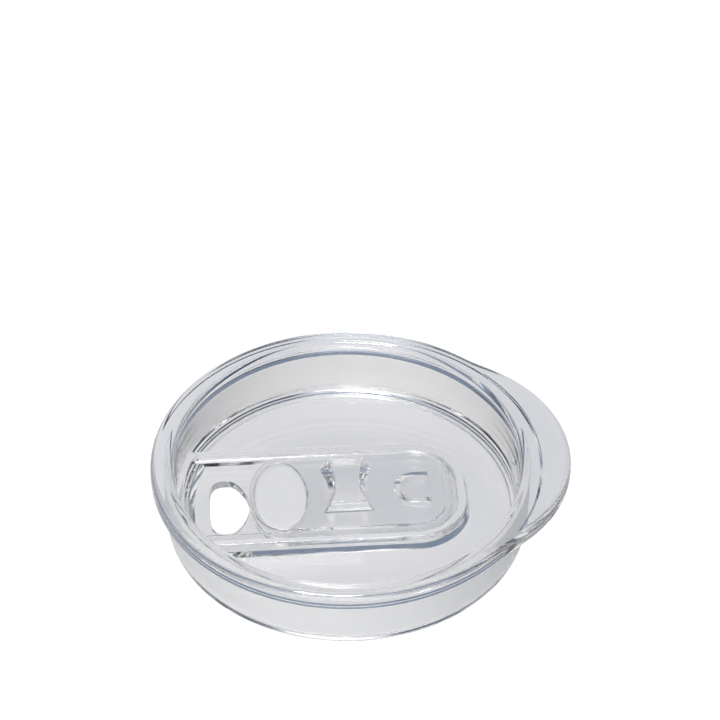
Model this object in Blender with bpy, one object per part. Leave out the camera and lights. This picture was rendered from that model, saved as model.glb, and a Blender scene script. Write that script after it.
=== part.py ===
"""Clear press-in drinking lid with a slide closure.

Frame: origin at the centre of the plug's bottom, on the surface the lid stands on.
+Z is up. +X runs along the slide track, from the sip hole to the thumb tab.
The slider is stored open, at the tab end of its track.
"""
import bmesh
import bpy
import numpy as np

MM = 0.001

# Rim, well and plug of the lid body
RIM_RADIUS = 45.0 * MM
RIM_TOP_Z = 17.4 * MM
RIM_UNDERSIDE_Z = 13.1 * MM
SEAT_OUTER_RADIUS = 44.2 * MM
SEAT_INNER_RADIUS = 42.2 * MM
SEAT_RELIEF = 0.2 * MM
RIM_ROUNDING = 1.6 * MM
WELL_TOP_RADIUS = 39.9 * MM
WELL_BOTTOM_RADIUS = 39.3 * MM
DECK_TOP_Z = 3.0 * MM
DECK_UNDERSIDE_Z = 1.0 * MM
DECK_FILLET = 3.0 * MM
PLUG_WALL_RADIUS = 40.9 * MM
FOOT_RADIUS = 41.6 * MM
FOOT_INNER_RADIUS = 39.0 * MM
FOOT_HEIGHT = 1.8 * MM

# Thumb tab: a disc set off centre, blended into the rim
TAB_CENTRE_X = 16.4 * MM
TAB_RADIUS = 34.9 * MM
TAB_THICKNESS = 3.2 * MM
TAB_BLEND = 0.8 * MM

# Sip hole, square-shouldered toward the rim and pointed toward the slider, and its ramp
HOLE_CENTRE_X = -27.3 * MM
HOLE_HALF_LENGTH = 4.6 * MM
HOLE_HALF_WIDTH = 8.6 * MM
HOLE_RIM_SIDE_POWER = 3.6
HOLE_SLIDER_SIDE_POWER = 1.6
RAMP_FOOT_RADIUS = 35.3 * MM
RAMP_TOP_RADIUS = 38.0 * MM
RAMP_TOP_Z = 6.4 * MM
RAMP_HALF_ANGLE = np.radians(23.6)

# U-shaped slide track standing on the deck
TRACK_HALF_WIDTH = 16.1 * MM
TRACK_END_X = 27.6 * MM
TRACK_START_X = -36.4 * MM
TRACK_CORNER_RADIUS = 12.6 * MM
TRACK_TOP_Z = 6.4 * MM
TRACK_WALL = 2.1 * MM
TRACK_EDGE_RADIUS = 0.5 * MM
TRACK_BASE_FLARE = 0.6 * MM
TRACK_TOP_INSET = 0.3 * MM
LIP_WIDTH = 3.7 * MM
LIP_UNDERSIDE_Z = 5.5 * MM

# Slider
PLATE_TOP_Z = 6.7 * MM
PLATE_HALF_WIDTH = 12.1 * MM
PLATE_END_X = 22.3 * MM
PLATE_CORNER_RADIUS = 7.0 * MM
FLANGE_BOTTOM_Z = 3.25 * MM
FLANGE_TOP_Z = 5.25 * MM
FLANGE_HALF_WIDTH = 13.7 * MM
FLANGE_END_X = 24.0 * MM
FLANGE_CORNER_RADIUS = 8.6 * MM
HEAD_CENTRE_X = -15.4 * MM
HEAD_HALF_LENGTH = 7.2 * MM
DISH_HALF_LENGTH = 6.6 * MM
DISH_HALF_WIDTH = 11.4 * MM
DISH_FLOOR_Z = 6.3 * MM
POCKET_HALF_LENGTH = 6.4 * MM
POCKET_HALF_WIDTH = 11.4 * MM
POCKET_ROOF_Z = 5.5 * MM

# Spool-shaped thumb grip on the slider
GRIP_HALF_LENGTH = 7.3 * MM
GRIP_TOP_Z = 10.2 * MM
GRIP_SCOOP = 1.2 * MM
GRIP_TOP_WAIST = 2.8 * MM
GRIP_TOP_END = 4.3 * MM
GRIP_BASE_WAIST = 4.7 * MM
GRIP_BASE_END = 6.4 * MM

# U-shaped slot that frees the latch tongue
SLOT_START_X = 10.7 * MM
SLOT_END_X = 19.2 * MM
SLOT_OUTER_HALF_WIDTH = 5.0 * MM
SLOT_INNER_HALF_WIDTH = 3.6 * MM

# Silicone parts
SEAL_BOTTOM_Z = 3.1 * MM
SEAL_TOP_Z = 5.35 * MM
SEAL_CLEARANCE = 0.2 * MM
SEAL_EDGE = 0.35 * MM
GASKET_INNER_RADIUS = 41.05 * MM
GASKET_OUTER_RADIUS = 42.0 * MM
GASKET_BOTTOM_Z = 2.05 * MM
GASKET_TOP_Z = 13.1 * MM
GASKET_EDGE = 0.3 * MM

# Mesh fineness
ROUND_STEPS = 120
TRACK_CORNER_STEPS = 14
OVAL_STEPS = 56
GRIP_STATIONS = 13
GRIP_SIDE_LEVELS = 6
OVERLAP = 0.3 * MM
SMOOTH_ANGLE = np.radians(35.0)
MERGE_DISTANCE = 1e-6


def clear_scene():
    """Remove every object that the session starts with."""
    for obj in list(bpy.data.objects):
        bpy.data.objects.remove(obj, do_unlink=True)


def make_material(name, colour, roughness, alpha):
    """Make one Principled material for a non-metal."""
    material = bpy.data.materials.new(name)
    material.use_nodes = True
    shader = material.node_tree.nodes["Principled BSDF"]
    shader.inputs["Base Color"].default_value = (*colour, 1.0)
    shader.inputs["Roughness"].default_value = roughness
    shader.inputs["Metallic"].default_value = 0.0
    shader.inputs["Alpha"].default_value = alpha
    material.diffuse_color = (*colour, 1.0)
    return material


def make_object(name, vertices, faces, material):
    """Make a mesh object with outward normals and smooth round faces."""
    mesh = bpy.data.meshes.new(name)
    mesh.from_pydata([tuple(map(float, v)) for v in vertices], [], faces)
    mesh.validate()
    clean = bmesh.new()
    clean.from_mesh(mesh)
    bmesh.ops.remove_doubles(clean, verts=clean.verts, dist=MERGE_DISTANCE)
    bmesh.ops.recalc_face_normals(clean, faces=clean.faces)
    clean.to_mesh(mesh)
    clean.free()
    mesh.materials.append(material)
    obj = bpy.data.objects.new(name, mesh)
    bpy.context.scene.collection.objects.link(obj)
    mesh.shade_smooth()
    mesh.set_sharp_from_angle(angle=SMOOTH_ANGLE)
    return obj


def hide_tool(obj):
    """Mark an object as a Boolean tool that is no part of the product."""
    obj.hide_render = True
    obj.display_type = "WIRE"


def combine(target, tool, operation):
    """Join a tool to the target, or cut it away, with the exact solver."""
    modifier = target.modifiers.new(tool.name, "BOOLEAN")
    modifier.operation = operation
    modifier.solver = "EXACT"
    modifier.object = tool
    hide_tool(tool)


def strip_faces(rows, columns, wrap_rows, wrap_columns):
    """List the quads of a grid, closed around its rows or columns as asked."""
    faces = []
    for i in range(rows if wrap_rows else rows - 1):
        for j in range(columns if wrap_columns else columns - 1):
            a = i * columns + j
            b = i * columns + (j + 1) % columns
            c = ((i + 1) % rows) * columns + (j + 1) % columns
            d = ((i + 1) % rows) * columns + j
            faces.append((a, b, c, d))
    return faces


def loft(name, sections, material):
    """Join a stack of closed outlines (levels, points, 3) and cap both ends."""
    levels, points = sections.shape[:2]
    faces = strip_faces(levels, points, False, True)
    faces.append(tuple(range(points)))
    faces.append(tuple(range((levels - 1) * points, levels * points)))
    return make_object(name, sections.reshape(-1, 3), faces, material)


def extrude(name, outline, low, high, material):
    """Extrude a plan outline (points, 2) from one height to another."""
    sections = [np.column_stack([outline, np.full(len(outline), z)]) for z in (low, high)]
    return loft(name, np.array(sections), material)


def oval(centre_x, half_length, half_width, steps=OVAL_STEPS):
    """Return the plan outline of an ellipse."""
    angle = np.linspace(0.0, 2.0 * np.pi, steps, endpoint=False)
    return np.column_stack([centre_x + half_length * np.cos(angle), half_width * np.sin(angle)])


def hole_outline():
    """Return the sip hole's plan: two half superellipses that meet at its widest line."""
    angle = np.linspace(0.0, 2.0 * np.pi, OVAL_STEPS, endpoint=False)
    power = np.where(np.cos(angle) > 0.0, HOLE_SLIDER_SIDE_POWER, HOLE_RIM_SIDE_POWER)
    along = np.sign(np.cos(angle)) * np.abs(np.cos(angle)) ** (2.0 / power)
    across = np.sign(np.sin(angle)) * np.abs(np.sin(angle)) ** (2.0 / power)
    return np.column_stack([HOLE_CENTRE_X + HOLE_HALF_LENGTH * along, HOLE_HALF_WIDTH * across])


def track_path(inset):
    """Return the U-shaped path at a distance inside the track's outer wall."""
    radius = TRACK_CORNER_RADIUS - inset
    corner_x = TRACK_END_X - TRACK_CORNER_RADIUS
    corner_y = TRACK_HALF_WIDTH - TRACK_CORNER_RADIUS
    angle = np.linspace(0.5 * np.pi, 0.0, TRACK_CORNER_STEPS)
    upper = np.column_stack([corner_x + radius * np.cos(angle), corner_y + radius * np.sin(angle)])
    lower = upper[::-1] * (1.0, -1.0)
    start = [(TRACK_START_X, TRACK_HALF_WIDTH - inset)]
    finish = [(TRACK_START_X, inset - TRACK_HALF_WIDTH)]
    return np.vstack([start, upper, lower, finish])


def tongue_outline(half_width, end_x, corner_radius):
    """Return the slider's plan: a half oval at the head, rounded corners at the other end."""
    head_angle = np.linspace(0.5 * np.pi, 1.5 * np.pi, OVAL_STEPS // 2)
    head = np.column_stack([HEAD_CENTRE_X + HEAD_HALF_LENGTH * np.cos(head_angle),
                            half_width * np.sin(head_angle)])
    corner_angle = np.linspace(-0.5 * np.pi, 0.0, TRACK_CORNER_STEPS)
    corner = np.column_stack([end_x - corner_radius + corner_radius * np.cos(corner_angle),
                              corner_radius - half_width + corner_radius * np.sin(corner_angle)])
    return np.vstack([head, corner, corner[::-1] * (1.0, -1.0)])


def outer_radius(angle):
    """Return the lid's outline: the rim circle and the tab circle, blended smoothly."""
    tab = TAB_CENTRE_X * np.cos(angle) + np.sqrt(TAB_RADIUS ** 2 - (TAB_CENTRE_X * np.sin(angle)) ** 2)
    return 0.5 * (RIM_RADIUS + tab + np.sqrt((RIM_RADIUS - tab) ** 2 + TAB_BLEND ** 2))


def body_profile(angle):
    """Return the lid's section (points, 2) of radius and height at one angle."""
    outer = outer_radius(angle)
    tab_share = min(1.0, (outer - RIM_RADIUS) / (2.0 * MM))
    edge_bottom = RIM_UNDERSIDE_Z + 0.5 * MM
    edge_bottom += tab_share * (RIM_TOP_Z - TAB_THICKNESS - edge_bottom)
    step_radius = SEAT_OUTER_RADIUS + (0.15 + 0.45 * tab_share) * MM
    arc = np.radians([0.0, 30.0, 60.0, 90.0])
    rounding = np.column_stack([outer - RIM_ROUNDING * (1.0 - np.sin(arc)),
                                RIM_TOP_Z - RIM_ROUNDING * (1.0 - np.cos(arc))])
    inner_lip = np.column_stack([WELL_TOP_RADIUS + RIM_ROUNDING * (1.0 - np.cos(arc)),
                                 RIM_TOP_Z - RIM_ROUNDING * (1.0 - np.sin(arc))])
    fillet = np.column_stack([WELL_BOTTOM_RADIUS - DECK_FILLET * (1.0 - np.sin(arc)),
                              DECK_TOP_Z + DECK_FILLET * (1.0 - np.cos(arc))])
    outside = [(outer - 0.35 * MM, edge_bottom + 0.35 * MM),
               (outer - 0.7 * MM, edge_bottom),
               (step_radius, edge_bottom - 0.1 * MM),
               (SEAT_OUTER_RADIUS, RIM_UNDERSIDE_Z),
               (SEAT_INNER_RADIUS, RIM_UNDERSIDE_Z),
               (SEAT_INNER_RADIUS, RIM_UNDERSIDE_Z + SEAT_RELIEF),
               (PLUG_WALL_RADIUS, RIM_UNDERSIDE_Z + SEAT_RELIEF),
               (PLUG_WALL_RADIUS, FOOT_HEIGHT),
               (FOOT_RADIUS, FOOT_HEIGHT),
               (FOOT_RADIUS, 0.5 * MM),
               (FOOT_RADIUS - 0.4 * MM, 0.0),
               (FOOT_INNER_RADIUS, 0.0),
               (FOOT_INNER_RADIUS - 0.3 * MM, DECK_UNDERSIDE_Z)]
    return np.vstack([fillet, inner_lip, rounding, outside])


def build_lid_shell(material):
    """Turn the section around the axis: deck, well wall, rim, tab, plug and foot."""
    angles = np.linspace(0.0, 2.0 * np.pi, ROUND_STEPS, endpoint=False)
    rings = []
    for angle in angles:
        profile = body_profile(angle)
        rings.append(np.column_stack([profile[:, 0] * np.cos(angle),
                                      profile[:, 0] * np.sin(angle),
                                      profile[:, 1]]))
    grid = np.array(rings).transpose(1, 0, 2)
    return loft("lid_body", grid, material)


def build_track(material):
    """Sweep the rail's section, a wall with draft outside and a lip inside, along the U."""
    arc = np.radians([0.0, 30.0, 60.0, 90.0])
    edge = np.column_stack([TRACK_TOP_INSET + TRACK_EDGE_RADIUS * (1.0 - np.cos(arc)),
                            TRACK_TOP_Z - TRACK_EDGE_RADIUS * (1.0 - np.sin(arc))])
    section = [(-TRACK_BASE_FLARE, DECK_TOP_Z - OVERLAP),
               (-TRACK_BASE_FLARE, DECK_TOP_Z),
               *edge,
               (LIP_WIDTH, TRACK_TOP_Z),
               (LIP_WIDTH, LIP_UNDERSIDE_Z),
               (TRACK_WALL, LIP_UNDERSIDE_Z),
               (TRACK_WALL, DECK_TOP_Z - OVERLAP)]
    lines = [np.column_stack([track_path(inset), np.full(2 * TRACK_CORNER_STEPS + 2, z)])
             for inset, z in section]
    return loft("track_tool", np.array(lines).transpose(1, 0, 2), material)


def build_ramp(material):
    """Build the wedge that slopes from the deck up the well wall behind the sip hole."""
    angles = np.pi + np.linspace(-RAMP_HALF_ANGLE, RAMP_HALF_ANGLE, 15)
    section = [(RAMP_FOOT_RADIUS, DECK_TOP_Z - OVERLAP),
               (RAMP_FOOT_RADIUS, DECK_TOP_Z),
               (RAMP_TOP_RADIUS, RAMP_TOP_Z),
               (PLUG_WALL_RADIUS - 0.5 * MM, RAMP_TOP_Z),
               (PLUG_WALL_RADIUS - 0.5 * MM, DECK_TOP_Z - OVERLAP)]
    sections = [[(r * np.cos(a), r * np.sin(a), z) for r, z in section] for a in angles]
    return loft("ramp_tool", np.array(sections), material)


def build_lid_body(material):
    """Build the lid body: shell, track and ramp joined, sip hole cut."""
    body = build_lid_shell(material)
    combine(body, build_track(material), "UNION")
    combine(body, build_ramp(material), "UNION")
    hole = extrude("sip_hole_tool", hole_outline(), -OVERLAP, PLATE_TOP_Z, material)
    combine(body, hole, "DIFFERENCE")
    return body


def build_grip(material):
    """Loft the thumb grip along Y: narrow at the waist, hollow sides, scooped top."""
    sections = []
    rise = np.linspace(0.0, 1.0, GRIP_SIDE_LEVELS)
    for y in np.linspace(-GRIP_HALF_LENGTH, GRIP_HALF_LENGTH, GRIP_STATIONS):
        spread = (y / GRIP_HALF_LENGTH) ** 2
        base = GRIP_BASE_WAIST + (GRIP_BASE_END - GRIP_BASE_WAIST) * spread
        top = GRIP_TOP_WAIST + (GRIP_TOP_END - GRIP_TOP_WAIST) * spread
        top_z = GRIP_TOP_Z - GRIP_SCOOP * (1.0 - spread)
        foot_z = PLATE_TOP_Z - OVERLAP
        side_x = base + (top - base) * np.sqrt(1.0 - (1.0 - rise) ** 2)
        side_z = foot_z + (top_z - foot_z) * rise
        right = np.column_stack([side_x, np.full(GRIP_SIDE_LEVELS, y), side_z])
        left = right[::-1] * (-1.0, 1.0, 1.0)
        sections.append(np.vstack([right, left]))
    return loft("grip_tool", np.array(sections), material)


def build_latch_slot(material):
    """Build the U-shaped cutter whose two arms run toward the slider's round end."""
    angle = np.linspace(0.5 * np.pi, 1.5 * np.pi, 17)
    outer = np.column_stack([SLOT_START_X + SLOT_OUTER_HALF_WIDTH * (1.0 + np.cos(angle)),
                             SLOT_OUTER_HALF_WIDTH * np.sin(angle)])
    centre_x = SLOT_START_X + SLOT_OUTER_HALF_WIDTH
    inner = np.column_stack([centre_x + SLOT_INNER_HALF_WIDTH * np.cos(angle[::-1]),
                             SLOT_INNER_HALF_WIDTH * np.sin(angle[::-1])])
    outline = np.vstack([[(SLOT_END_X, SLOT_OUTER_HALF_WIDTH)], outer,
                         [(SLOT_END_X, -SLOT_OUTER_HALF_WIDTH)],
                         [(SLOT_END_X, -SLOT_INNER_HALF_WIDTH)], inner,
                         [(SLOT_END_X, SLOT_INNER_HALF_WIDTH)]])
    return extrude("latch_slot_tool", outline, FLANGE_BOTTOM_Z - OVERLAP,
                   PLATE_TOP_Z + OVERLAP, material)


def build_slider(material):
    """Build the slider: guided flange, top plate, grip, head dish, seal pocket and latch slot."""
    flange = tongue_outline(FLANGE_HALF_WIDTH, FLANGE_END_X, FLANGE_CORNER_RADIUS)
    slider = extrude("slider", flange, FLANGE_BOTTOM_Z, FLANGE_TOP_Z, material)
    plate = tongue_outline(PLATE_HALF_WIDTH, PLATE_END_X, PLATE_CORNER_RADIUS)
    combine(slider, extrude("plate_tool", plate, FLANGE_TOP_Z - OVERLAP, PLATE_TOP_Z, material),
            "UNION")
    combine(slider, build_grip(material), "UNION")
    dish = oval(HEAD_CENTRE_X, DISH_HALF_LENGTH, DISH_HALF_WIDTH)
    combine(slider, extrude("dish_tool", dish, DISH_FLOOR_Z, PLATE_TOP_Z + OVERLAP, material),
            "DIFFERENCE")
    pocket = oval(HEAD_CENTRE_X, POCKET_HALF_LENGTH, POCKET_HALF_WIDTH)
    combine(slider, extrude("pocket_tool", pocket, FLANGE_BOTTOM_Z - OVERLAP, POCKET_ROOF_Z,
                            material), "DIFFERENCE")
    combine(slider, build_latch_slot(material), "DIFFERENCE")
    return slider


def build_slider_seal(material):
    """Build the oval seal pad that lies in the pocket under the slider's head."""
    length = POCKET_HALF_LENGTH - SEAL_CLEARANCE
    width = POCKET_HALF_WIDTH - SEAL_CLEARANCE
    levels = [(SEAL_BOTTOM_Z, SEAL_EDGE),
              (SEAL_BOTTOM_Z + SEAL_EDGE, 0.0),
              (SEAL_TOP_Z - SEAL_EDGE, 0.0),
              (SEAL_TOP_Z, SEAL_EDGE)]
    sections = []
    for height, inset in levels:
        plan = oval(HEAD_CENTRE_X, length - inset, width - inset)
        sections.append(np.column_stack([plan, np.full(len(plan), height)]))
    return loft("slider_seal", np.array(sections), material)


def build_plug_gasket(material):
    """Build the silicone sleeve that fills the groove between the rim and the foot."""
    section = [(GASKET_INNER_RADIUS, GASKET_BOTTOM_Z),
               (GASKET_OUTER_RADIUS - GASKET_EDGE, GASKET_BOTTOM_Z),
               (GASKET_OUTER_RADIUS, GASKET_BOTTOM_Z + GASKET_EDGE),
               (GASKET_OUTER_RADIUS, GASKET_TOP_Z - GASKET_EDGE),
               (GASKET_OUTER_RADIUS - GASKET_EDGE, GASKET_TOP_Z),
               (GASKET_INNER_RADIUS, GASKET_TOP_Z)]
    angles = np.linspace(0.0, 2.0 * np.pi, ROUND_STEPS, endpoint=False)
    vertices = [(r * np.cos(a), r * np.sin(a), z) for a in angles for r, z in section]
    faces = strip_faces(ROUND_STEPS, len(section), True, True)
    return make_object("plug_gasket", vertices, faces, material)


def main():
    """Build every sub-part of the lid."""
    clear_scene()
    clear_plastic = make_material("clear_copolyester", (0.86, 0.88, 0.90), 0.05, 0.35)
    silicone = make_material("clear_silicone", (0.84, 0.85, 0.86), 0.35, 0.6)
    build_lid_body(clear_plastic)
    build_slider(clear_plastic)
    build_slider_seal(silicone)
    build_plug_gasket(silicone)


main()
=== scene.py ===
"""Clear press-in drinking lid with a slide closure, standing on a pale studio floor."""

import bpy
import numpy as np
from mathutils import Matrix, Vector


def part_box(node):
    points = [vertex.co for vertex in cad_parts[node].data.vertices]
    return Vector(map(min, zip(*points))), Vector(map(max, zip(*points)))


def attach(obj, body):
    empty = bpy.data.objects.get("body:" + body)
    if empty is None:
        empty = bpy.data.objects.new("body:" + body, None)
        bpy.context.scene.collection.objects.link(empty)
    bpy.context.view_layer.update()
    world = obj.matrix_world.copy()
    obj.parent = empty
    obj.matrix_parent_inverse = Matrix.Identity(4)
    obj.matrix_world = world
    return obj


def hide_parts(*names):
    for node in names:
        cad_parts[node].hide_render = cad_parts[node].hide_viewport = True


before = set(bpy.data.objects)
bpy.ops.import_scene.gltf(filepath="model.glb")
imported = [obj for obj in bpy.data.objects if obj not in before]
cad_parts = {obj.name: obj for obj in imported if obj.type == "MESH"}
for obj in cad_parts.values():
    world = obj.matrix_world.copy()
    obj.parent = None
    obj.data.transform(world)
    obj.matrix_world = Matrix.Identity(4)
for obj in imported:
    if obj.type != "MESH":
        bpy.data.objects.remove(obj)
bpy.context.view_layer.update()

MM = 0.001

# ---------------------------------------------------------------------------------------
# Lid body: one injection moulding in clear copolyester. A turned cup shape makes the deck,
# well wall, rim, plug and foot. The rim bulges out into a thumb tab. A U-shaped track and a
# sill behind the sip hole stand on the deck, and the sip hole is cored through it.
# ---------------------------------------------------------------------------------------

lid_low, lid_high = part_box("lid_body")
RIM_RADIUS = 45.0 * MM
RIM_TOP_Z = lid_high.z
WELL_TOP_RADIUS = 39.9 * MM
WELL_BOTTOM_RADIUS = 39.3 * MM
SEAT_OUTER_RADIUS = 44.2 * MM
SEAT_INNER_RADIUS = 42.2 * MM
SEAT_Z = 13.1 * MM
PLUG_WALL_RADIUS = 40.9 * MM
SEAT_RELIEF = 0.2 * MM
FOOT_RADIUS = 41.6 * MM
FOOT_INNER_RADIUS = 39.0 * MM
FOOT_HEIGHT = 1.8 * MM
PLUG_INNER_RADIUS = 38.7 * MM
DECK_TOP_Z = 3.0 * MM
DECK_UNDERSIDE_Z = 1.0 * MM
DECK_CENTRE_DISC = 12.0 * MM
TAB_CENTRE_X = 16.4 * MM
TAB_RADIUS = 34.9 * MM
TAB_THICKNESS = 3.2 * MM
TAB_BLEND = 0.8 * MM
TRACK_HALF_WIDTH = 16.1 * MM
TRACK_END_X = 27.6 * MM
TRACK_START_X = -36.4 * MM
TRACK_CORNER_RADIUS = 12.6 * MM
TRACK_SECTION_MM = ((-0.6, 2.7), (-0.6, 2.8), (-0.6, 3.0), (0.3, 6.4), (3.7, 6.4),
                    (3.7, 5.5), (2.1, 5.5), (2.1, 3.0), (2.1, 2.8), (2.1, 2.7))
TRACK_ROUNDINGS_MM = (0.0, 0.0, 0.0, 0.5, 0.25, 0.12, 0.15, 0.0, 0.0, 0.0)
HOLE_CENTRE_X = -27.3 * MM
HOLE_HALF_LENGTH = 4.6 * MM
HOLE_HALF_WIDTH = 8.6 * MM
HOLE_SLIDER_SIDE_POWER = 1.6
HOLE_RIM_SIDE_POWER = 3.6
HOLE_EDGE_RADIUS = 0.3 * MM
SILL_SECTION_MM = ((35.0, 2.7), (35.0, 2.97), (35.4, 3.0), (38.0, 6.4), (40.3, 6.4), (40.3, 2.7))
SILL_ROUNDINGS_MM = (0.0, 0.0, 0.3, 0.4, 0.0, 0.0)
SILL_HALF_ANGLE = np.radians(23.6)
COPOLYESTER_IOR = 1.56
COPOLYESTER_TINT = "#FCFCFC"


def rounded_section(corners, radii, steps):
    """Round the corners of a section with circular arcs.

    corners is (k, ..., 2). Each arc is a rational quadratic curve: it runs between the two
    points at the tangent length from the corner, pulled to the corner by the sine of half
    the corner's angle, which makes it exactly circular.
    """
    corners = np.asarray(corners, float)
    count = len(corners)
    points = []
    for i, radius in enumerate(radii):
        corner = corners[i]
        if radius == 0.0:
            points.append(corner)
            continue
        back = corners[(i - 1) % count] - corner
        ahead = corners[(i + 1) % count] - corner
        back = back / np.linalg.norm(back, axis=-1, keepdims=True)
        ahead = ahead / np.linalg.norm(ahead, axis=-1, keepdims=True)
        cosine = np.clip(np.sum(back * ahead, axis=-1, keepdims=True), -1.0, 1.0)
        half_angle = 0.5 * np.arccos(cosine)
        tangent = radius / np.tan(half_angle)
        weight = np.sin(half_angle)
        for s in np.linspace(0.0, 1.0, steps + 1):
            a, b, c = (1.0 - s) ** 2, 2.0 * s * (1.0 - s) * weight, s ** 2
            whole = a * (corner + back * tangent) + b * corner + c * (corner + ahead * tangent)
            points.append(whole / (a + b + c))
    return np.array(points)


def solid_from_rows(name, grid):
    """Make a closed solid from a grid of points (rows, columns, 3).

    Every row is a closed outline, neighbouring rows are joined by quads, and the first and
    the last row are each filled with one face.
    """
    rows, columns = grid.shape[:2]
    row, column = np.meshgrid(np.arange(rows - 1), np.arange(columns), indexing="ij")
    after = (column + 1) % columns
    quads = np.stack([row * columns + column, row * columns + after,
                      (row + 1) * columns + after, (row + 1) * columns + column], axis=-1)
    faces = quads.reshape(-1, 4).tolist()
    faces.append(list(range(columns))[::-1])
    faces.append(list(range((rows - 1) * columns, rows * columns)))
    return solid_from_faces(name, grid.reshape(-1, 3), faces)


def solid_from_faces(name, points, faces):
    """Make a mesh object at the origin whose faces point outwards."""
    mesh = bpy.data.meshes.new(name)
    mesh.from_pydata(points.tolist(), [], faces)
    mesh.validate()
    solid = bpy.data.objects.new(name, mesh)
    bpy.context.scene.collection.objects.link(solid)
    corners = np.empty(len(mesh.vertices) * 3)
    mesh.vertices.foreach_get("co", corners)
    corners = corners.reshape(-1, 3)
    mesh.calc_loop_triangles()
    triangles = np.empty(len(mesh.loop_triangles) * 3, int)
    mesh.loop_triangles.foreach_get("vertices", triangles)
    a, b, c = corners[triangles.reshape(-1, 3)].transpose(1, 0, 2)
    if np.sum(a * np.cross(b, c)) < 0.0:
        mesh.flip_normals()
    return solid


def joined(solid, tool, operation):
    """Join a tool to a solid, or cut it away, keep the result and remove the tool."""
    modifier = solid.modifiers.new("join", "BOOLEAN")
    modifier.operation = operation
    modifier.solver = "EXACT"
    modifier.object = tool
    depsgraph = bpy.context.evaluated_depsgraph_get()
    result = bpy.data.meshes.new_from_object(solid.evaluated_get(depsgraph))
    solid.modifiers.clear()
    solid.data = result
    bpy.data.objects.remove(tool)
    return solid


def polished(solid, angle):
    """Shade a moulding smooth: flats stay flat, roundings flow, and real edges stay sharp."""
    solid.data.shade_smooth()
    solid.data.set_sharp_from_angle(angle=np.radians(angle))
    modifier = solid.modifiers.new("flat faces first", "WEIGHTED_NORMAL")
    modifier.mode = "FACE_AREA"
    modifier.keep_sharp = True
    modifier.weight = 100
    return solid


def rim_outline(angle):
    """Return the rim's radius: the larger of the round rim and the tab's circle, blended.

    The blend is half the sum plus half the root of the squared difference and the squared
    blend width.
    """
    across = TAB_CENTRE_X * np.sin(angle)
    tab = TAB_CENTRE_X * np.cos(angle) + np.sqrt(TAB_RADIUS ** 2 - across ** 2)
    return 0.5 * (RIM_RADIUS + tab + np.sqrt((RIM_RADIUS - tab) ** 2 + TAB_BLEND ** 2))


def turned_cup(steps):
    """Turn the lid's section round the axis.

    The section is a list of corners of radius and height, rounded by arcs. Its outer
    corners follow the rim outline, so the section stretches where the tab stands out.
    """
    angle = np.linspace(0.0, 2.0 * np.pi, steps, endpoint=False)
    outer = np.minimum(rim_outline(angle), lid_high.x)
    share = np.clip((outer - RIM_RADIUS) / (2.0 * MM), 0.0, 1.0)
    edge_z = SEAT_Z + 0.5 * MM + share * (RIM_TOP_Z - TAB_THICKNESS - SEAT_Z - 0.5 * MM)
    step_radius = SEAT_OUTER_RADIUS + (0.15 + 0.45 * share) * MM
    one = np.ones(steps)
    corners = [
        (DECK_CENTRE_DISC * one, DECK_TOP_Z * one, 0.0),
        (WELL_BOTTOM_RADIUS * one, DECK_TOP_Z * one, 3.0 * MM),
        (WELL_TOP_RADIUS * one, RIM_TOP_Z * one, 1.6 * MM),
        (outer, RIM_TOP_Z * one, 1.5 * MM),
        (outer, edge_z, 0.5 * MM),
        (step_radius, edge_z - 0.1 * MM, 0.0),
        (SEAT_OUTER_RADIUS * one, SEAT_Z * one, 0.0),
        (SEAT_INNER_RADIUS * one, SEAT_Z * one, 0.0),
        (SEAT_INNER_RADIUS * one, (SEAT_Z + SEAT_RELIEF) * one, 0.0),
        (PLUG_WALL_RADIUS * one, (SEAT_Z + SEAT_RELIEF) * one, 0.15 * MM),
        (PLUG_WALL_RADIUS * one, FOOT_HEIGHT * one, 0.15 * MM),
        (FOOT_RADIUS * one, FOOT_HEIGHT * one, 0.15 * MM),
        (FOOT_RADIUS * one, 0.0 * one, 0.4 * MM),
        (FOOT_INNER_RADIUS * one, 0.0 * one, 0.3 * MM),
        (PLUG_INNER_RADIUS * one, DECK_UNDERSIDE_Z * one, 0.3 * MM),
        (DECK_CENTRE_DISC * one, DECK_UNDERSIDE_Z * one, 0.0),
    ]
    section = np.array([np.stack([radius, height], axis=-1) for radius, height, _ in corners])
    section = rounded_section(section, [rounding for _, _, rounding in corners], 9)
    return np.stack([section[..., 0] * np.cos(angle), section[..., 0] * np.sin(angle),
                     section[..., 1]], axis=-1)


def track_path(inset, corner_steps):
    """Return the U-shaped line (points, 2) at a distance inside the track's outer wall."""
    radius = TRACK_CORNER_RADIUS - inset
    corner_x = TRACK_END_X - TRACK_CORNER_RADIUS
    corner_y = TRACK_HALF_WIDTH - TRACK_CORNER_RADIUS
    angle = np.linspace(0.5 * np.pi, 0.0, corner_steps)
    upper = np.column_stack([corner_x + radius * np.cos(angle),
                             corner_y + radius * np.sin(angle)])
    start = [(TRACK_START_X, TRACK_HALF_WIDTH - inset)]
    finish = [(TRACK_START_X, inset - TRACK_HALF_WIDTH)]
    return np.vstack([start, upper, upper[::-1] * (1.0, -1.0), finish])


def track_rail():
    """Carry the rail's section along the U.

    The section is a wall whose outer side has moulding draft, with a lip that turns in over
    the slider. Its corners are an inset from the track's outline and a height.
    """
    section = rounded_section(np.array(TRACK_SECTION_MM) * MM, np.array(TRACK_ROUNDINGS_MM) * MM, 5)
    lines = [np.column_stack([track_path(inset, 40), np.full(82, height)])
             for inset, height in section]
    return np.array(lines).transpose(1, 0, 2)


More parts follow.
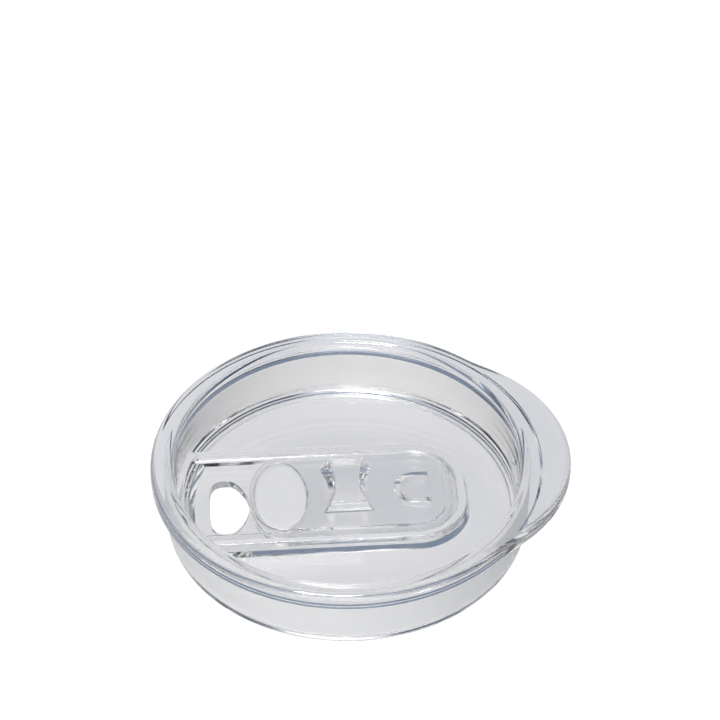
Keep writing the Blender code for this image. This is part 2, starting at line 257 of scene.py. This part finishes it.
def hole_sill():
    """Sweep the sill behind the sip hole round the axis: it slopes from deck to well wall."""
    angle = np.pi + np.linspace(-SILL_HALF_ANGLE, SILL_HALF_ANGLE, 33)
    section = rounded_section(np.array(SILL_SECTION_MM) * MM, np.array(SILL_ROUNDINGS_MM) * MM, 5)
    radius = section[None, :, 0]
    return np.stack([radius * np.cos(angle)[:, None], radius * np.sin(angle)[:, None],
                     np.repeat(section[None, :, 1], len(angle), axis=0)], axis=-1)


def hole_core():
    """Stack the hole's plan, widened by a quarter circle where it meets the deck's two faces.

    The plan is two half superellipses: square-shouldered on the rim side and pointed on the
    slider side. Each is a cosine and a sine raised to two over its power.
    """
    angle = np.linspace(0.0, 2.0 * np.pi, 144, endpoint=False)
    power = np.where(np.cos(angle) > 0.0, HOLE_SLIDER_SIDE_POWER, HOLE_RIM_SIDE_POWER)
    along = np.sign(np.cos(angle)) * np.abs(np.cos(angle)) ** (2.0 / power)
    across = np.sign(np.sin(angle)) * np.abs(np.sin(angle)) ** (2.0 / power)
    arc = np.linspace(0.0, 0.5 * np.pi, 6)
    flare = HOLE_EDGE_RADIUS
    top = np.column_stack([flare * (1.0 - np.cos(arc)), DECK_TOP_Z - flare * (1.0 - np.sin(arc))])
    bottom = np.column_stack([top[::-1, 0], DECK_UNDERSIDE_Z + DECK_TOP_Z - top[::-1, 1]])
    rows = np.vstack([[(flare, DECK_UNDERSIDE_Z - flare)], bottom, top,
                      [(1.1 * flare, DECK_TOP_Z + 4.0 * MM)]])
    grow = rows[:, 0][:, None]
    return np.stack([HOLE_CENTRE_X + (HOLE_HALF_LENGTH + grow) * along,
                     (HOLE_HALF_WIDTH + grow) * across,
                     np.repeat(rows[:, 1][:, None], len(angle), axis=1)], axis=-1)


def linear(hex_colour):
    """Turn an sRGB hex colour into linear red, green, blue and alpha."""
    value = np.array([int(hex_colour[i:i + 2], 16) for i in (1, 3, 5)]) / 255.0
    value = np.where(value <= 0.04045, value / 12.92, ((value + 0.055) / 1.055) ** 2.4)
    return (*value.tolist(), 1.0)


def add_node(tree, kind, settings, inputs):
    """Add a node, set its own settings, and fill or link its inputs."""
    node = tree.nodes.new(kind)
    for name, value in settings.items():
        setattr(node, name, value)
    for name, value in inputs.items():
        if isinstance(value, bpy.types.NodeSocket):
            tree.links.new(value, node.inputs[name])
        else:
            node.inputs[name].default_value = value
    return node


def lamps_shine_through(tree, surface, tint):
    """Let lamp light and diffuse light straight through a surface, dimmed by a tint.

    Rays from the eye still see the surface itself, so it refracts and shines, but what it
    covers is lit without the dark shadow that refraction alone would throw.
    """
    passing = add_node(tree, "ShaderNodeBsdfTransparent", {}, {"Color": linear(tint)})
    path = add_node(tree, "ShaderNodeLightPath", {}, {})
    light = add_node(tree, "ShaderNodeMath", {"operation": "MAXIMUM"}, {})
    tree.links.new(path.outputs["Is Shadow Ray"], light.inputs[0])
    tree.links.new(path.outputs["Is Diffuse Ray"], light.inputs[1])
    mix = add_node(tree, "ShaderNodeMixShader", {}, {"Fac": light.outputs["Value"]})
    tree.links.new(surface.outputs["BSDF"], mix.inputs[1])
    tree.links.new(passing.outputs["BSDF"], mix.inputs[2])
    add_node(tree, "ShaderNodeOutputMaterial", {}, {"Surface": mix.outputs["Shader"]})


def moulded_clear_copolyester():
    """Clear copolyester from a polished mould: glassy and almost colourless, with a slight
    flow ripple that makes reflections waver.
    """
    material = bpy.data.materials.new("moulded_clear_copolyester")
    material.use_nodes = True
    tree = material.node_tree
    tree.nodes.clear()
    place = add_node(tree, "ShaderNodeTexCoord", {}, {})
    ripple = add_node(tree, "ShaderNodeTexNoise", {},
                      {"Vector": place.outputs["Object"], "Scale": 1.0 / (9.0 * MM),
                       "Detail": 1.0, "Roughness": 0.4})
    bump = add_node(tree, "ShaderNodeBump", {},
                    {"Height": ripple.outputs["Fac"], "Strength": 1.0, "Distance": 0.02 * MM})
    plastic = add_node(tree, "ShaderNodeBsdfPrincipled", {},
                       {"Base Color": linear(COPOLYESTER_TINT), "Roughness": 0.02,
                        "IOR": COPOLYESTER_IOR, "Transmission Weight": 1.0,
                        "Normal": bump.outputs["Normal"]})
    lamps_shine_through(tree, plastic, COPOLYESTER_TINT)
    return material


clear_plastic = moulded_clear_copolyester()
lid = solid_from_rows("lid_body_clear", turned_cup(360))
lid = joined(lid, solid_from_rows("track", track_rail()), "UNION")
lid = joined(lid, solid_from_rows("sill", hole_sill()), "UNION")
lid = joined(lid, solid_from_rows("core", hole_core()), "DIFFERENCE")
lid.data.materials.clear()
lid.data.materials.append(clear_plastic)
polished(lid, 32.0)
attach(lid, "lid")
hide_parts("lid_body")

# ---------------------------------------------------------------------------------------
# Slider: a second clear moulding that runs under the track's lips. It has a guided flange,
# a raised plate, a waisted thumb grip, a shallow oval dish at its head and a U-shaped slot
# that frees a springy latch tongue.
# ---------------------------------------------------------------------------------------

slider_low, slider_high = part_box("slider")
PLATE_TOP_Z = 6.7 * MM
FLANGE_TOP_Z = 5.25 * MM
FLANGE_HALF_WIDTH = 13.7 * MM
FLANGE_CORNER_RADIUS = 8.6 * MM
PLATE_HALF_WIDTH = 12.1 * MM
PLATE_END_X = 22.3 * MM
PLATE_CORNER_RADIUS = 7.0 * MM
HEAD_CENTRE_X = -15.4 * MM
HEAD_HALF_LENGTH = 7.2 * MM
DISH_FLOOR_Z = 6.3 * MM
DISH_EDGE_RADIUS = 3.0 * MM
DISH_HALF_LENGTH = 8.1 * MM
DISH_HALF_WIDTH = 12.9 * MM
POCKET_ROOF_Z = 5.5 * MM
POCKET_HALF_LENGTH = 6.4 * MM
POCKET_HALF_WIDTH = 11.4 * MM
GRIP_HALF_LENGTH = 7.3 * MM
GRIP_TOP_Z = slider_high.z
GRIP_SCOOP = 1.2 * MM
GRIP_CROWN_RADIUS = 0.35 * MM
GRIP_END_ROUNDING = 0.45 * MM
SLOT_START_X = 10.7 * MM
SLOT_END_X = 19.2 * MM
SLOT_OUTER_RADIUS = 5.0 * MM
SLOT_INNER_RADIUS = 3.6 * MM


def tongue_outline(half_width, end_x, corner_radius, inset):
    """Return the slider's plan: half an oval at the head, two rounded corners at the end."""
    half_width = half_width - inset
    end_x = end_x - inset
    corner_radius = corner_radius - inset
    head_angle = np.linspace(0.5 * np.pi, 1.5 * np.pi, 72)
    head = np.column_stack([HEAD_CENTRE_X + (HEAD_HALF_LENGTH - inset) * np.cos(head_angle),
                            half_width * np.sin(head_angle)])
    corner_angle = np.linspace(-0.5 * np.pi, 0.0, 28)
    corner = np.column_stack([end_x - corner_radius * (1.0 - np.cos(corner_angle)),
                              corner_radius - half_width + corner_radius * np.sin(corner_angle)])
    return np.vstack([head, corner, corner[::-1] * (1.0, -1.0)])


def plate_rows(low, high, low_edge, high_edge):
    """List height and inset up a plate's side: its edges are quarter circles."""
    arc = np.linspace(0.0, 0.5 * np.pi, 6)
    bottom = np.column_stack([low + low_edge * (1.0 - np.cos(arc)), low_edge * (1.0 - np.sin(arc))])
    top = np.column_stack([high - high_edge * (1.0 - np.cos(arc[::-1])),
                           high_edge * (1.0 - np.sin(arc[::-1]))])
    return np.vstack([bottom, top])


def stacked(rows, outline):
    """Stack plan outlines: each row gives a height and an inset of the outline."""
    layers = []
    for height, inset in rows:
        plan = outline(inset)
        layers.append(np.column_stack([plan, np.full(len(plan), height)]))
    return np.array(layers)


def oval_outline(centre_x, half_length, half_width):
    """Return a function that gives an oval's plan at an inset."""
    angle = np.linspace(0.0, 2.0 * np.pi, 144, endpoint=False)

    def outline(inset):
        return np.column_stack([centre_x + (half_length - inset) * np.cos(angle),
                                (half_width - inset) * np.sin(angle)])
    return outline


def thumb_grip():
    """Carry the grip's section across the slider.

    The section is a trapezium with slightly bulged sides. Its top and base widths grow with
    the square of the distance from the middle, and the top is scooped by the same law. The
    whole section shrinks along a quarter circle at the two ends.
    """
    along = np.sin(np.linspace(-0.5, 0.5, 61) * np.pi)
    rise = np.linspace(0.0, 1.0, 16)
    sections = []
    for share in along:
        spread = share ** 2
        last = ((abs(share) - 0.94) / 0.06).clip(0.0)
        edge = GRIP_END_ROUNDING * (1.0 - np.sqrt(np.clip(1.0 - last ** 2, 0.0, 1.0)))
        base = (4.7 + 1.7 * spread) * MM - edge
        top = (2.8 + 1.5 * spread) * MM - edge
        top_z = GRIP_TOP_Z - GRIP_SCOOP * (1.0 - spread) - edge
        foot_z = PLATE_TOP_Z - 0.3 * MM
        side_x = base + (top - base) * (0.75 * rise + 0.25 * np.sqrt(1.0 - (1.0 - rise) ** 2))
        side_z = foot_z + (top_z - foot_z - GRIP_CROWN_RADIUS) * rise
        arc = np.linspace(0.0, 0.5 * np.pi, 7)[1:]
        crown_x = top - GRIP_CROWN_RADIUS * (1.0 - np.cos(arc))
        crown_z = top_z - GRIP_CROWN_RADIUS * (1.0 - np.sin(arc))
        right = np.column_stack([np.concatenate([side_x, crown_x]),
                                 np.full(len(rise) + len(arc), share * GRIP_HALF_LENGTH),
                                 np.concatenate([side_z, crown_z])])
        sections.append(np.vstack([right, right[::-1] * (-1.0, 1.0, 1.0)]))
    return np.array(sections)


def latch_slot():
    """Stack the U-shaped slot's plan: a half ring with two straight arms."""
    angle = np.linspace(0.5 * np.pi, 1.5 * np.pi, 40)
    centre_x = SLOT_START_X + SLOT_OUTER_RADIUS
    outer = np.column_stack([centre_x + SLOT_OUTER_RADIUS * np.cos(angle),
                             SLOT_OUTER_RADIUS * np.sin(angle)])
    inner = np.column_stack([centre_x + SLOT_INNER_RADIUS * np.cos(angle[::-1]),
                             SLOT_INNER_RADIUS * np.sin(angle[::-1])])
    tip = np.linspace(0.5 * np.pi, -0.5 * np.pi, 14)
    tip_radius = 0.5 * (SLOT_OUTER_RADIUS - SLOT_INNER_RADIUS)
    far_tip = np.column_stack([SLOT_END_X - tip_radius * (1.0 - np.cos(tip)),
                               SLOT_OUTER_RADIUS - tip_radius + tip_radius * np.sin(tip)])
    near_tip = far_tip * (1.0, -1.0)
    plan = np.vstack([outer, near_tip, inner, far_tip[::-1]])
    heights = (slider_low.z - 0.3 * MM, PLATE_TOP_Z + 0.3 * MM)
    return np.array([np.column_stack([plan, np.full(len(plan), z)]) for z in heights])


slider = solid_from_rows("slider_clear", stacked(
    plate_rows(slider_low.z, FLANGE_TOP_Z, 0.25 * MM, 0.25 * MM),
    lambda inset: tongue_outline(FLANGE_HALF_WIDTH, slider_high.x, FLANGE_CORNER_RADIUS, inset)))
slider = joined(slider, solid_from_rows("plate", stacked(
    plate_rows(FLANGE_TOP_Z - 0.3 * MM, PLATE_TOP_Z, 0.0, 0.35 * MM),
    lambda inset: tongue_outline(PLATE_HALF_WIDTH, PLATE_END_X, PLATE_CORNER_RADIUS, inset))),
                "UNION")
slider = joined(slider, solid_from_rows("grip", thumb_grip()), "UNION")
slider = joined(slider, solid_from_rows("dish", stacked(
    plate_rows(DISH_FLOOR_Z, PLATE_TOP_Z + 2.8 * MM, DISH_EDGE_RADIUS, 0.0),
    oval_outline(HEAD_CENTRE_X, DISH_HALF_LENGTH, DISH_HALF_WIDTH))), "DIFFERENCE")
slider = joined(slider, solid_from_rows("pocket", stacked(
    plate_rows(slider_low.z - 0.3 * MM, POCKET_ROOF_Z, 0.0, 0.15 * MM),
    oval_outline(HEAD_CENTRE_X, POCKET_HALF_LENGTH, POCKET_HALF_WIDTH))), "DIFFERENCE")
slider = joined(slider, solid_from_rows("slot", latch_slot()), "DIFFERENCE")
slider.data.materials.clear()
slider.data.materials.append(clear_plastic)
polished(slider, 32.0)
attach(slider, "slide")
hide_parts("slider")

# ---------------------------------------------------------------------------------------
# Slider seal: an oval pad of translucent silicone pressed into the pocket under the
# slider's head. It closes the sip hole when the slider is pushed over it.
# ---------------------------------------------------------------------------------------


def moulded_translucent_silicone():
    """Translucent silicone: milky inside, with the satin skin of a bead-blasted mould."""
    material = bpy.data.materials.new("moulded_translucent_silicone")
    material.use_nodes = True
    tree = material.node_tree
    tree.nodes.clear()
    place = add_node(tree, "ShaderNodeTexCoord", {}, {})
    grain = add_node(tree, "ShaderNodeTexNoise", {},
                     {"Vector": place.outputs["Object"], "Scale": 1.0 / (0.6 * MM),
                      "Detail": 2.0, "Roughness": 0.5})
    bump = add_node(tree, "ShaderNodeBump", {},
                    {"Height": grain.outputs["Fac"], "Strength": 1.0, "Distance": 0.01 * MM})
    rubber = add_node(tree, "ShaderNodeBsdfPrincipled", {},
                      {"Base Color": linear("#FBFBFA"), "Roughness": 0.45, "IOR": 1.41,
                       "Transmission Weight": 0.5, "Normal": bump.outputs["Normal"]})
    lamps_shine_through(tree, rubber, "#FBFBFB")
    return material


SEAL_HALF_LENGTH = 6.2 * MM
silicone = moulded_translucent_silicone()
seal_low, seal_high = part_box("slider_seal")
seal = solid_from_rows("slider_seal_silicone", stacked(
    plate_rows(seal_low.z, seal_high.z, 0.35 * MM, 0.35 * MM),
    oval_outline(HEAD_CENTRE_X, SEAL_HALF_LENGTH, seal_high.y)))
seal.data.materials.append(silicone)
polished(seal, 40.0)
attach(seal, "slide")
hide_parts("slider_seal")

# ---------------------------------------------------------------------------------------
# Plug sleeve: a ring of the same silicone stretched into the groove between the rim and
# the foot. It grips the inside of the cup's mouth.
# ---------------------------------------------------------------------------------------


def ring(section, steps):
    """Turn a closed section (points, 2) of radius and height round the axis."""
    angle = np.linspace(0.0, 2.0 * np.pi, steps, endpoint=False)
    radius = section[:, 0][None, :]
    grid = np.stack([radius * np.cos(angle)[:, None], radius * np.sin(angle)[:, None],
                     np.repeat(section[:, 1][None, :], steps, axis=0)], axis=-1)
    rows, columns = grid.shape[:2]
    row, column = np.meshgrid(np.arange(rows), np.arange(columns), indexing="ij")
    next_row, next_column = (row + 1) % rows, (column + 1) % columns
    quads = np.stack([row * columns + column, row * columns + next_column,
                      next_row * columns + next_column, next_row * columns + column], axis=-1)
    return grid.reshape(-1, 3), quads.reshape(-1, 4).tolist()


SLEEVE_INNER_RADIUS = 41.05 * MM
sleeve_low, sleeve_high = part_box("plug_gasket")
sleeve_corners = np.array([(SLEEVE_INNER_RADIUS, sleeve_low.z), (sleeve_high.y, sleeve_low.z),
                           (sleeve_high.y, sleeve_high.z), (SLEEVE_INNER_RADIUS, sleeve_high.z)])
sleeve_section = rounded_section(sleeve_corners, np.array([0.1, 0.35, 0.35, 0.1]) * MM, 5)
sleeve = solid_from_faces("plug_sleeve_silicone", *ring(sleeve_section, 360))
sleeve.data.materials.append(silicone)
polished(sleeve, 40.0)
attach(sleeve, "lid")
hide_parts("plug_gasket")

# ---------------------------------------------------------------------------------------
# Studio: a wide pale floor board with a slight gloss, one small warm soft box above and in
# front, and a room that is white round the horizon, blue-grey higher up and dark at both
# ends of the track.
# ---------------------------------------------------------------------------------------


def pale_floor():
    """White painted board, slightly glossy, with a barely visible roller mottle.

    Seen directly it is a plain white ground. Reflections, refractions and bounced light
    meet the lit board.
    """
    material = bpy.data.materials.new("white_painted_board")
    material.use_nodes = True
    tree = material.node_tree
    tree.nodes.clear()
    place = add_node(tree, "ShaderNodeTexCoord", {}, {})
    mottle = add_node(tree, "ShaderNodeTexNoise", {},
                      {"Vector": place.outputs["Object"], "Scale": 1.0 / (40.0 * MM)})
    tone = add_node(tree, "ShaderNodeMix", {"data_type": "RGBA"},
                    {"Factor": mottle.outputs["Fac"], "A": linear("#EBEBEC"),
                     "B": linear("#EDEDEE")})
    board = add_node(tree, "ShaderNodeBsdfPrincipled", {},
                     {"Base Color": tone.outputs["Result"], "Roughness": 0.12,
                      "Specular IOR Level": 0.5})
    glow = add_node(tree, "ShaderNodeEmission", {}, {"Color": linear("#FFFFFF"),
                                                      "Strength": 1.1})
    path = add_node(tree, "ShaderNodeLightPath", {}, {})
    seen = add_node(tree, "ShaderNodeMixShader", {}, {"Fac": path.outputs["Is Camera Ray"]})
    tree.links.new(board.outputs["BSDF"], seen.inputs[1])
    tree.links.new(glow.outputs["Emission"], seen.inputs[2])
    add_node(tree, "ShaderNodeOutputMaterial", {}, {"Surface": seen.outputs["Shader"]})
    return material


floor_mesh = bpy.data.meshes.new("studio_floor")
floor_mesh.from_pydata([(-2.0, -2.0, 0.0), (2.0, -2.0, 0.0), (2.0, 2.0, 0.0), (-2.0, 2.0, 0.0)],
                       [], [(0, 1, 2, 3)])
floor = bpy.data.objects.new("studio_floor", floor_mesh)
floor.location.z = -0.05 * MM
floor_mesh.materials.append(pale_floor())
bpy.context.scene.collection.objects.link(floor)


def soft_box(name, place, target, size, power, colour):
    """Hang a rectangular soft box at a place and turn it to its target."""
    lamp = bpy.data.lights.new(name, "AREA")
    lamp.shape = "RECTANGLE"
    lamp.size, lamp.size_y = size
    lamp.energy = power
    lamp.color = colour
    box = bpy.data.objects.new(name, lamp)
    box.location = place
    box.rotation_mode = "QUATERNION"
    box.rotation_quaternion = (Vector(target) - Vector(place)).to_track_quat("-Z", "Y")
    bpy.context.scene.collection.objects.link(box)
    return box


soft_box("overhead_soft_box", (-0.08, -0.19, 0.57), (0.0, 0.0, 0.0), (0.20, 0.16), 2.9,
         (1.0, 0.953, 0.895))

world = bpy.data.worlds.new("pale_room")
world.use_nodes = True
room = world.node_tree
room.nodes.clear()
room_place = add_node(room, "ShaderNodeTexCoord", {}, {})
room_parts = add_node(room, "ShaderNodeSeparateXYZ", {},
                      {"Vector": room_place.outputs["Generated"]})
room_tone = add_node(room, "ShaderNodeValToRGB", {}, {"Fac": room_parts.outputs["Z"]})
room_tone.color_ramp.elements[0].color = linear("#F4F4F5")
room_tone.color_ramp.elements[1].color = linear("#B4BCC8")
for height, tone in ((0.44, "#F2F2F1"), (0.54, "#6E7E94"), (0.85, "#7C899C")):
    room_tone.color_ramp.elements.new(height).color = linear(tone)
room_right = add_node(room, "ShaderNodeMapRange", {"interpolation_type": "SMOOTHSTEP"},
                      {"Value": room_parts.outputs["X"], "From Min": 0.1, "From Max": 0.5})
room_left = add_node(room, "ShaderNodeMapRange", {"interpolation_type": "SMOOTHSTEP"},
                     {"Value": room_parts.outputs["X"], "From Min": -0.5, "From Max": -0.8})
room_ends = add_node(room, "ShaderNodeMath", {"operation": "MAXIMUM"}, {})
room.links.new(room_right.outputs["Result"], room_ends.inputs[0])
room.links.new(room_left.outputs["Result"], room_ends.inputs[1])
room_colour = add_node(room, "ShaderNodeMix", {"data_type": "RGBA"},
                       {"Factor": room_ends.outputs["Value"], "A": room_tone.outputs["Color"],
                        "B": linear("#333D4C")})
room_front = add_node(room, "ShaderNodeMapRange", {},
                      {"Value": room_parts.outputs["Y"], "From Min": -0.8, "From Max": 0.0,
                       "To Min": 1.7, "To Max": 1.0})
room_light = add_node(room, "ShaderNodeBackground", {},
                      {"Color": room_colour.outputs["Result"],
                       "Strength": room_front.outputs["Result"]})
add_node(room, "ShaderNodeOutputWorld", {}, {"Surface": room_light.outputs["Background"]})
bpy.context.scene.world = world
bpy.context.scene.view_settings.view_transform = "Standard"
# The rails and the rim guide light through many reflections, which need many bounces.
bpy.context.scene.cycles.max_bounces = 64
bpy.context.scene.cycles.transmission_bounces = 64
bpy.context.scene.cycles.glossy_bounces = 24

# ---------------------------------------------------------------------------------------
# Camera: 0.6 m from the rim's centre, 43 degrees above the floor, a few degrees off the
# track's side, with a long lens.
# ---------------------------------------------------------------------------------------

CAMERA_DISTANCE = 0.600
CAMERA_ELEVATION = np.radians(42.8)
CAMERA_TURN = np.radians(3.6)
CAMERA_ROLL = np.radians(-0.18)
AIM_RIGHT = np.radians(0.288)
AIM_UP = np.radians(2.097)
LENS_MM = 131.1

rim_centre = Vector((0.0, 0.0, RIM_TOP_Z))
towards_camera = Vector((-np.cos(CAMERA_ELEVATION) * np.sin(CAMERA_TURN),
                         -np.cos(CAMERA_ELEVATION) * np.cos(CAMERA_TURN),
                         np.sin(CAMERA_ELEVATION)))
camera_data = bpy.data.cameras.new("studio_camera")
camera_data.sensor_width = 36.0
camera_data.lens = LENS_MM
camera_data.clip_start = 0.01
camera = bpy.data.objects.new("studio_camera", camera_data)
look = (-towards_camera).to_track_quat("-Z", "Y").to_matrix().to_4x4()
aim = Matrix.Rotation(-AIM_RIGHT, 4, "Y") @ Matrix.Rotation(AIM_UP, 4, "X")
roll = Matrix.Rotation(CAMERA_ROLL, 4, "Z")
camera.matrix_world = (Matrix.Translation(rim_centre + towards_camera * CAMERA_DISTANCE)
                       @ look @ aim @ roll)
bpy.context.scene.collection.objects.link(camera)
bpy.context.scene.camera = camera
